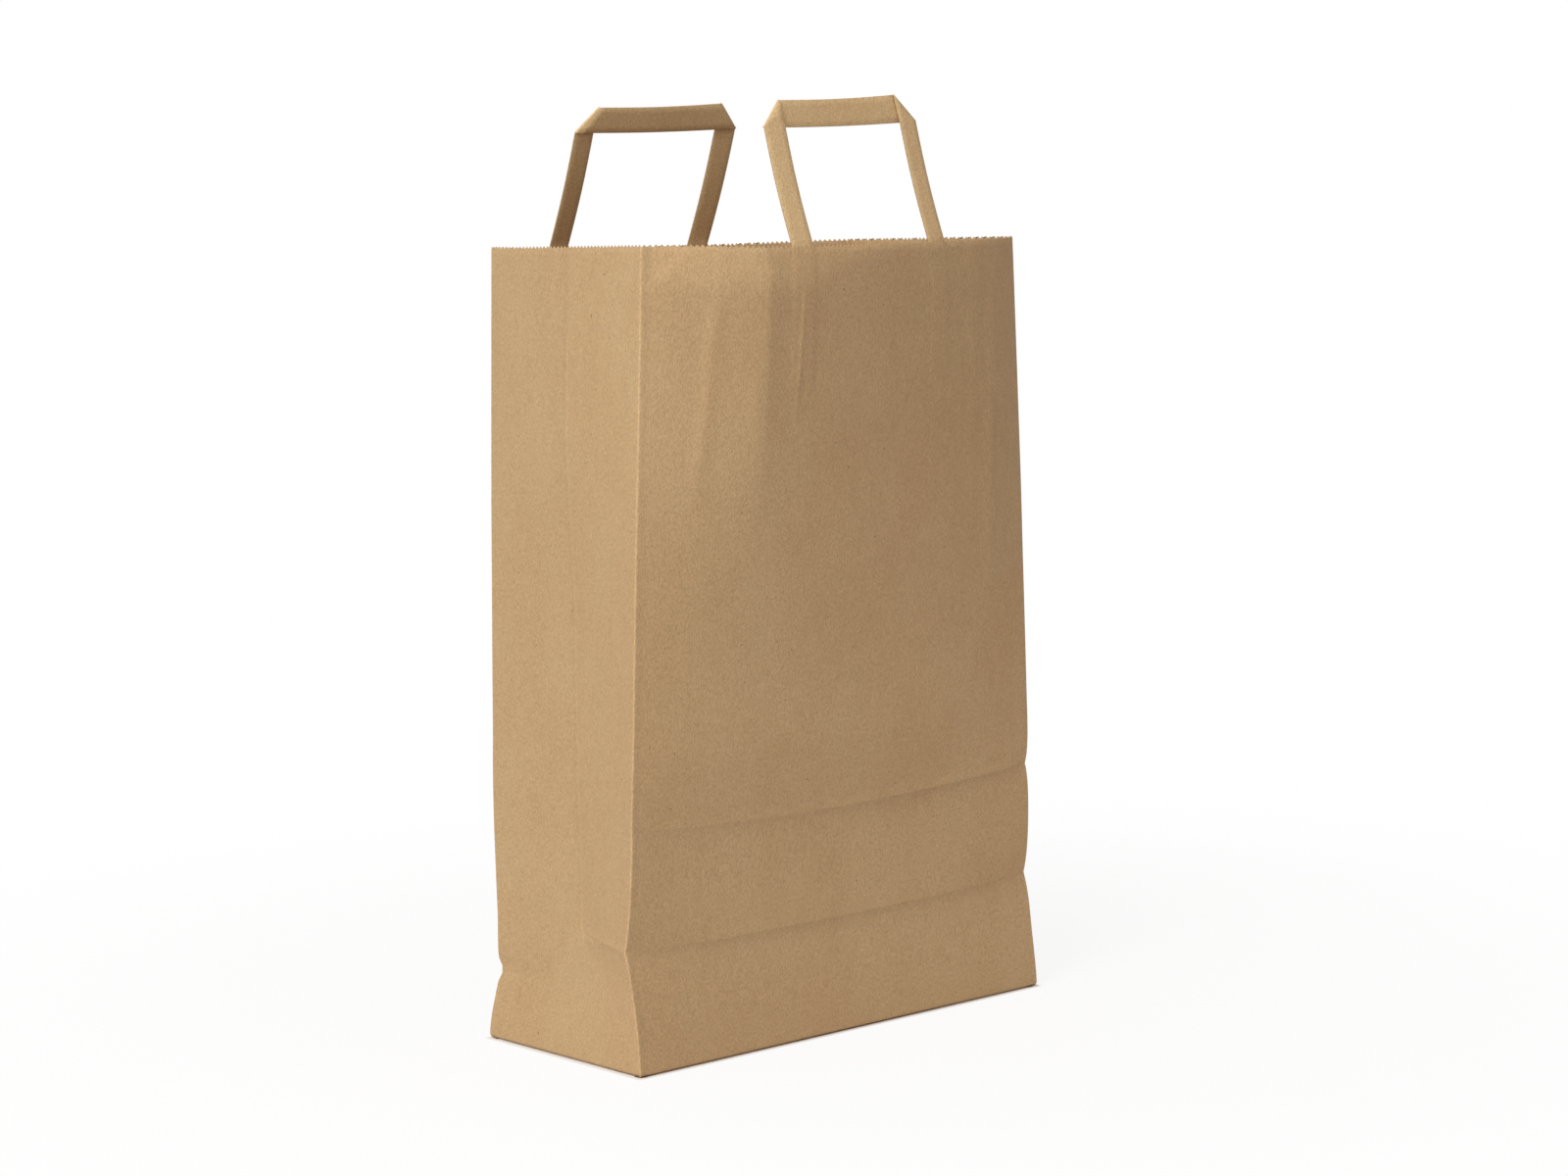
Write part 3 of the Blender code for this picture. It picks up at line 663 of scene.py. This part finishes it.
def make_handle(name, node, wall, shift, rise, skew, lean):
    standoff = PAPER / 2 + GLUE + TAPE / 2
    foot = HEIGHT + rise - LEG_LENGTH

    def wall_point(place, side, height):
        points, outward = paper_row(wall, height, [shift + place, shift + side * LEG_MIDDLE])
        return points[0] - outward[1] * standoff, outward[1]

    left, _ = wall_point(-LEG_MIDDLE, -1, HEIGHT)
    right, _ = wall_point(LEG_MIDDLE, 1, HEIGHT)
    across = (right - left) / np.linalg.norm(right - left)
    into_bag = np.array([-across[1], across[0], 0.0])
    into_bag /= np.linalg.norm(into_bag)
    upward = into_bag * math.sin(lean) + np.array([0.0, 0.0, math.cos(lean)])
    behind = into_bag * math.cos(lean) - np.array([0.0, 0.0, math.sin(lean)])
    verts = []
    faces = []
    tones = []
    ends = {}
    for side in (-1, 1):
        inner, outer = side * LEG_INNER, side * LEG_OUTER
        rings = []
        for height in np.linspace(foot, HEIGHT - 0.004, 12):
            a, facing = wall_point(inner, side, height)
            b, _ = wall_point(outer, side, height)
            rings.append((a, b, facing))
        base_a, facing = wall_point(inner, side, HEIGHT)
        base_b, _ = wall_point(outer, side, HEIGHT)
        rings.append((base_a, base_b, facing))
        length = rise + side * skew
        elbow = length - TAPE_WIDTH
        for share in np.linspace(0.08, 1.0, 14):
            bow = LEG_BOW * math.sin(math.pi * share) * behind
            turned = facing * (1 - share) - behind * share
            turned /= np.linalg.norm(turned)
            distance = upward * elbow * share
            rings.append((base_a + distance + bow, base_b + distance + bow, turned))
        for share in (0.5, 1.0):
            top = base_a + upward * (elbow + TAPE_WIDTH * share)
            low = base_b + upward * (elbow + PAPER * share)
            rings.append((top, low, -behind))
        if side > 0:
            solid = [tape_ring(a, b, facing) for a, b, facing in rings]
        else:
            solid = [tape_ring(b, a, facing) for a, b, facing in rings]
        loft(verts, faces, solid)
        tones += LAYER_GAP_SHADE * len(solid)
        ends[side] = (base_a + upward * length, base_b + upward * elbow)
    layer = behind * TAPE
    rings = []
    for share in np.linspace(0.0, 1.0, 17):
        low = ends[-1][1] * (1 - share) + ends[1][1] * share
        high = ends[-1][0] * (1 - share) + ends[1][0] * share
        sag = BAR_SAG * math.sin(math.pi * share) * -upward
        rings.append(tape_ring(high + layer + sag, low + layer + sag, -behind))
    loft(verts, faces, rings)
    tones += LAYER_GAP_SHADE * len(rings)
    for side in (-1, 1):
        top, low = ends[side]
        along = (top - low) / np.linalg.norm(top - low)
        outer = np.cross(along, behind)
        if np.dot(outer, across) * side < 0:
            outer = -outer
        centre_low = low + layer / 2
        centre_top = top + layer / 2
        rings = []
        for share in (0.0, 0.02, 0.25, 0.5, 0.75, 0.98, 1.0):
            radius = TAPE * (0.93 if 0.01 < share < 0.99 else 0.7)
            centre = centre_low * (1 - share) + centre_top * share - outer * 0.0002
            ring = []
            for angle in np.linspace(-math.pi / 2, math.pi / 2, 9):
                turned = outer * math.cos(angle) * 0.8 + behind * math.sin(angle)
                ring.append(centre + turned * radius)
            rings.append(ring)
        if np.dot(np.cross(outer, behind), along) < 0:
            rings = [ring[::-1] for ring in rings]
        loft(verts, faces, rings)
        # Painted highlight, partly wear, on the turned folds
        tones += [EDGE_WEAR_AND_HIGHLIGHT] * (len(rings) * len(rings[0]))
    handle = mesh_object(name, verts, faces)
    set_tones(handle, tones)
    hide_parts(node)
    return handle


def make_patch(name, node, wall, shift):
    """The glued patch inside a wide wall, with soft channels over the legs."""
    flat = PAPER / 2 + GLUE + PATCH / 2
    raised = TAPE + GLUE
    places = np.linspace(-PATCH_HALF, PATCH_HALF, 105)
    heights = np.linspace(PATCH_LOW, PATCH_HIGH, 30)
    rows = []
    for height in heights:
        points, outward = paper_row(wall, height, shift + places)
        lift = np.full(len(places), flat)
        for side in (-1, 1):
            away = abs(places - side * LEG_MIDDLE)
            lift += raised * smooth(1 - ramps(away, TAPE_WIDTH / 2 + 0.0003, TAPE_WIDTH / 2 + 0.0022))
        rows.append(points - outward * lift[:, None])
    verts = [point for row in rows for point in row]
    count = len(places)
    faces = []
    for level in range(len(rows) - 1):
        for i in range(count - 1):
            a = level * count + i
            faces.append((a, a + 1, a + 1 + count, a + count))
    patch = mesh_object(name, verts, faces)
    thicken(patch, PATCH)
    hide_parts(node)
    return patch


# Materials

def kraft(name, light, dark, shift=0.0):
    """Machine-glazed kraft paper: cloudy, with fibres along its length, shives and small specks."""
    made = bpy.data.materials.new(name)
    made.use_nodes = True
    nodes, links = made.node_tree.nodes, made.node_tree.links
    shader = nodes["Principled BSDF"]
    shader.inputs["Specular IOR Level"].default_value = 0.28
    place = nodes.new("ShaderNodeTexCoord")

    def noise_of(scale, stretch, detail, rough, offset):
        mapping = nodes.new("ShaderNodeMapping")
        mapping.inputs["Location"].default_value = (offset + shift, offset, offset)
        mapping.inputs["Scale"].default_value = stretch
        texture = nodes.new("ShaderNodeTexNoise")
        texture.inputs["Scale"].default_value = scale
        texture.inputs["Detail"].default_value = detail
        texture.inputs["Roughness"].default_value = rough
        links.new(place.outputs["Object"], mapping.inputs["Vector"])
        links.new(mapping.outputs["Vector"], texture.inputs["Vector"])
        return texture.outputs["Fac"]

    def mix(kind, factor, a, b):
        node = nodes.new("ShaderNodeMix")
        node.data_type = "RGBA"
        node.blend_type = kind
        for socket, value in (("Factor", factor), ("A", a), ("B", b)):
            index = {"Factor": 0, "A": 6, "B": 7}[socket]
            if isinstance(value, bpy.types.NodeSocket):
                links.new(value, node.inputs[index])
            else:
                node.inputs[index].default_value = value
        return node.outputs[2]

    def band(value, low, high):
        node = nodes.new("ShaderNodeMapRange")
        node.interpolation_type = "SMOOTHSTEP"
        node.inputs["From Min"].default_value = low
        node.inputs["From Max"].default_value = high
        links.new(value, node.inputs["Value"])
        return node.outputs["Result"]

    cloud = noise_of(22.0, (1.0, 1.0, 0.6), 3.0, 0.5, 0.0)
    flock = noise_of(170.0, (1.0, 1.0, 0.55), 4.0, 0.6, 3.0)
    fibre = noise_of(1500.0, (1.0, 1.0, 0.45), 3.0, 0.65, 5.0)
    grit = noise_of(1000.0, (1.0, 1.0, 0.8), 2.0, 0.5, 9.0)
    shive = noise_of(900.0, (1.0, 1.0, 0.45), 2.0, 0.4, 7.0)
    speck = noise_of(700.0, (1.0, 1.0, 0.7), 1.0, 0.3, 11.0)
    colour = mix("MIX", band(cloud, 0.3, 0.7), (*dark, 1.0), (*light, 1.0))
    for texture, low, high, tint in (
        (flock, 0.35, 0.75, (0.975, 0.965, 0.955)),
        (fibre, 0.38, 0.64, (0.81, 0.79, 0.76)),
        (shive, 0.71, 0.76, (1.16, 1.16, 1.15)),
        (speck, 0.80, 0.83, (0.42, 0.36, 0.30)),
    ):
        tinted = mix("MULTIPLY", 1.0, colour, (*tint, 1.0))
        colour = mix("MIX", band(texture, low, high), colour, tinted)
    # The tone attribute: painted shade and painted highlights, with some wear, multiplied into the colour
    wear_and_painted_light = nodes.new("ShaderNodeAttribute")
    wear_and_painted_light.attribute_name = "tone"
    gain = nodes.new("ShaderNodeMath")
    gain.operation = "ADD"
    gain.inputs[1].default_value = 1.0
    links.new(wear_and_painted_light.outputs["Fac"], gain.inputs[0])
    toned = nodes.new("ShaderNodeVectorMath")
    toned.operation = "SCALE"
    links.new(colour, toned.inputs["Vector"])
    links.new(gain.outputs["Value"], toned.inputs["Scale"])
    links.new(toned.outputs["Vector"], shader.inputs["Base Color"])
    rough = nodes.new("ShaderNodeMapRange")
    rough.inputs["To Min"].default_value = 0.62
    rough.inputs["To Max"].default_value = 0.82
    links.new(flock, rough.inputs["Value"])
    links.new(rough.outputs["Result"], shader.inputs["Roughness"])
    height = nodes.new("ShaderNodeMath")
    height.operation = "ADD"
    links.new(fibre, height.inputs[0])
    links.new(grit, height.inputs[1])
    bump = nodes.new("ShaderNodeBump")
    bump.inputs["Strength"].default_value = 0.8
    bump.inputs["Distance"].default_value = 0.0003
    links.new(height.outputs["Value"], bump.inputs["Height"])
    links.new(bump.outputs["Normal"], shader.inputs["Normal"])
    return made


def dress(obj, finish):
    obj.data.materials.clear()
    obj.data.materials.append(finish)


# Studio

def seen_share(material):
    """A share that is 1 for the camera and for reflections, so that they see white, and 0 for the rest."""
    nodes, links = material.node_tree.nodes, material.node_tree.links
    path = nodes.new("ShaderNodeLightPath")
    seen = nodes.new("ShaderNodeMath")
    seen.operation = "MAXIMUM"
    links.new(path.outputs["Is Camera Ray"], seen.inputs[0])
    links.new(path.outputs["Is Glossy Ray"], seen.inputs[1])
    both = nodes.new("ShaderNodeMath")
    both.operation = "MAXIMUM"
    links.new(seen.outputs["Value"], both.inputs[0])
    links.new(path.outputs["Is Transmission Ray"], both.inputs[1])
    return nodes, links, both.outputs["Value"]


def make_floor():
    made = bpy.data.materials.new("floor")
    made.use_nodes = True
    nodes, links, share = seen_share(made)
    place = nodes.new("ShaderNodeTexCoord")
    reach = nodes.new("ShaderNodeVectorMath")
    reach.operation = "LENGTH"
    links.new(place.outputs["Object"], reach.inputs[0])
    folded = nodes.new("ShaderNodeVectorMath")
    folded.operation = "ABSOLUTE"
    links.new(place.outputs["Object"], folded.inputs[0])
    beyond = nodes.new("ShaderNodeVectorMath")
    beyond.operation = "SUBTRACT"
    beyond.inputs[1].default_value = (HALF_WIDTH, HALF_DEPTH, 0.0)
    links.new(folded.outputs["Vector"], beyond.inputs[0])
    outside = nodes.new("ShaderNodeVectorMath")
    outside.operation = "MAXIMUM"
    outside.inputs[1].default_value = (0.0, 0.0, 0.0)
    links.new(beyond.outputs["Vector"], outside.inputs[0])
    gap = nodes.new("ShaderNodeVectorMath")
    gap.operation = "LENGTH"
    links.new(outside.outputs["Vector"], gap.inputs[0])

    def span(value, start, end, low, high):
        node = nodes.new("ShaderNodeMapRange")
        node.interpolation_type = "SMOOTHSTEP"
        for name, number in (("From Min", start), ("From Max", end), ("To Min", low), ("To Max", high)):
            node.inputs[name].default_value = number
        links.new(value, node.inputs["Value"])
        return node.outputs["Result"]

    def product(a, b):
        node = nodes.new("ShaderNodeMath")
        node.operation = "MULTIPLY"
        links.new(a, node.inputs[0])
        links.new(b, node.inputs[1])
        return node.outputs["Value"]

    contact = span(gap.outputs["Value"], 0.0006, 0.0030, 0.0, 1.0)
    near = span(reach.outputs["Value"], 0.15, 0.70, 0.88, 1.0)
    share = product(product(share, contact), near)
    shader = nodes["Principled BSDF"]
    # Floor colour lighter around the bag and darker away from it: a painted pool of light that sets the
    # bounce
    painted_light_pool = span(reach.outputs["Value"], 0.40, 1.10, 0.95, 0.55)
    links.new(painted_light_pool, shader.inputs["Base Color"])
    shader.inputs["Roughness"].default_value = 0.9
    shader.inputs["Specular IOR Level"].default_value = 0.0
    glow = nodes.new("ShaderNodeEmission")
    glow.inputs["Color"].default_value = (1.0, 1.0, 1.0, 1.0)
    glow.inputs["Strength"].default_value = 1.0
    mix = nodes.new("ShaderNodeMixShader")
    links.new(share, mix.inputs["Fac"])
    links.new(shader.outputs["BSDF"], mix.inputs[1])
    links.new(glow.outputs["Emission"], mix.inputs[2])
    links.new(mix.outputs["Shader"], nodes["Material Output"].inputs["Surface"])
    mesh = bpy.data.meshes.new("floor")
    size = 6.0
    square = [(-size, -size, 0), (size, -size, 0), (size, size, 0), (-size, size, 0)]
    mesh.from_pydata(square, [], [(0, 1, 2, 3)])
    floor = bpy.data.objects.new("floor", mesh)
    mesh.materials.append(made)
    bpy.context.scene.collection.objects.link(floor)


def make_world(ambient):
    world = bpy.data.worlds.new("studio")
    world.use_nodes = True
    nodes, links, share = seen_share(world)
    plain = nodes["Background"]
    plain.inputs["Color"].default_value = (1.0, 0.885, 0.845, 1.0)
    plain.inputs["Strength"].default_value = ambient
    white = nodes.new("ShaderNodeBackground")
    white.inputs["Color"].default_value = (1.0, 1.0, 1.0, 1.0)
    white.inputs["Strength"].default_value = 1.0
    mix = nodes.new("ShaderNodeMixShader")
    links.new(share, mix.inputs["Fac"])
    links.new(plain.outputs["Background"], mix.inputs[1])
    links.new(white.outputs["Background"], mix.inputs[2])
    links.new(mix.outputs["Shader"], nodes["World Output"].inputs["Surface"])
    bpy.context.scene.world = world


def make_lamp(name, place, target, size, power, colour):
    data = bpy.data.lights.new(name, "AREA")
    data.shape = "RECTANGLE"
    data.size, data.size_y = size
    data.energy = power
    data.color = colour
    lamp = bpy.data.objects.new(name, data)
    lamp.location = place
    lamp.rotation_euler = (Vector(target) - Vector(place)).to_track_quat("-Z", "Y").to_euler()
    bpy.context.scene.collection.objects.link(lamp)


paper = kraft("kraft_paper", (0.583, 0.400, 0.215), (0.562, 0.372, 0.196))
tape = kraft("kraft_tape", (0.805, 0.575, 0.31), (0.775, 0.54, 0.285), shift=4.0)
lining = kraft("kraft_patch", (0.53, 0.355, 0.195), (0.50, 0.33, 0.18), shift=8.0)
dress(make_bag(), paper)
dress(make_bottom(), paper)
front = make_handle("handle_front_tape", "handle_front", 0, SHIFT_FRONT, RISE_FRONT, RISE_SKEW, LEAN_FRONT)
dress(front, tape)
back = make_handle("handle_back_tape", "handle_back", 2, -SHIFT_BACK, RISE_BACK, -RISE_SKEW, LEAN_BACK)
dress(back, tape)
dress(make_patch("patch_front_paper", "patch_front", 0, SHIFT_FRONT), lining)
dress(make_patch("patch_back_paper", "patch_back", 2, -SHIFT_BACK), lining)

make_floor()
make_world(0.412)
make_lamp("key", (-1.63, -0.60, 1.55), (0.0, 0.0, 0.2), (1.2, 1.2), 31.1, (0.955, 1.0, 0.985))
make_lamp("top", (0.0, 0.10, 2.2), (0.0, 0.0, 0.2), (1.6, 1.4), 7.0, (1.0, 0.98, 0.96))

bpy.context.scene.view_settings.view_transform = "Standard"
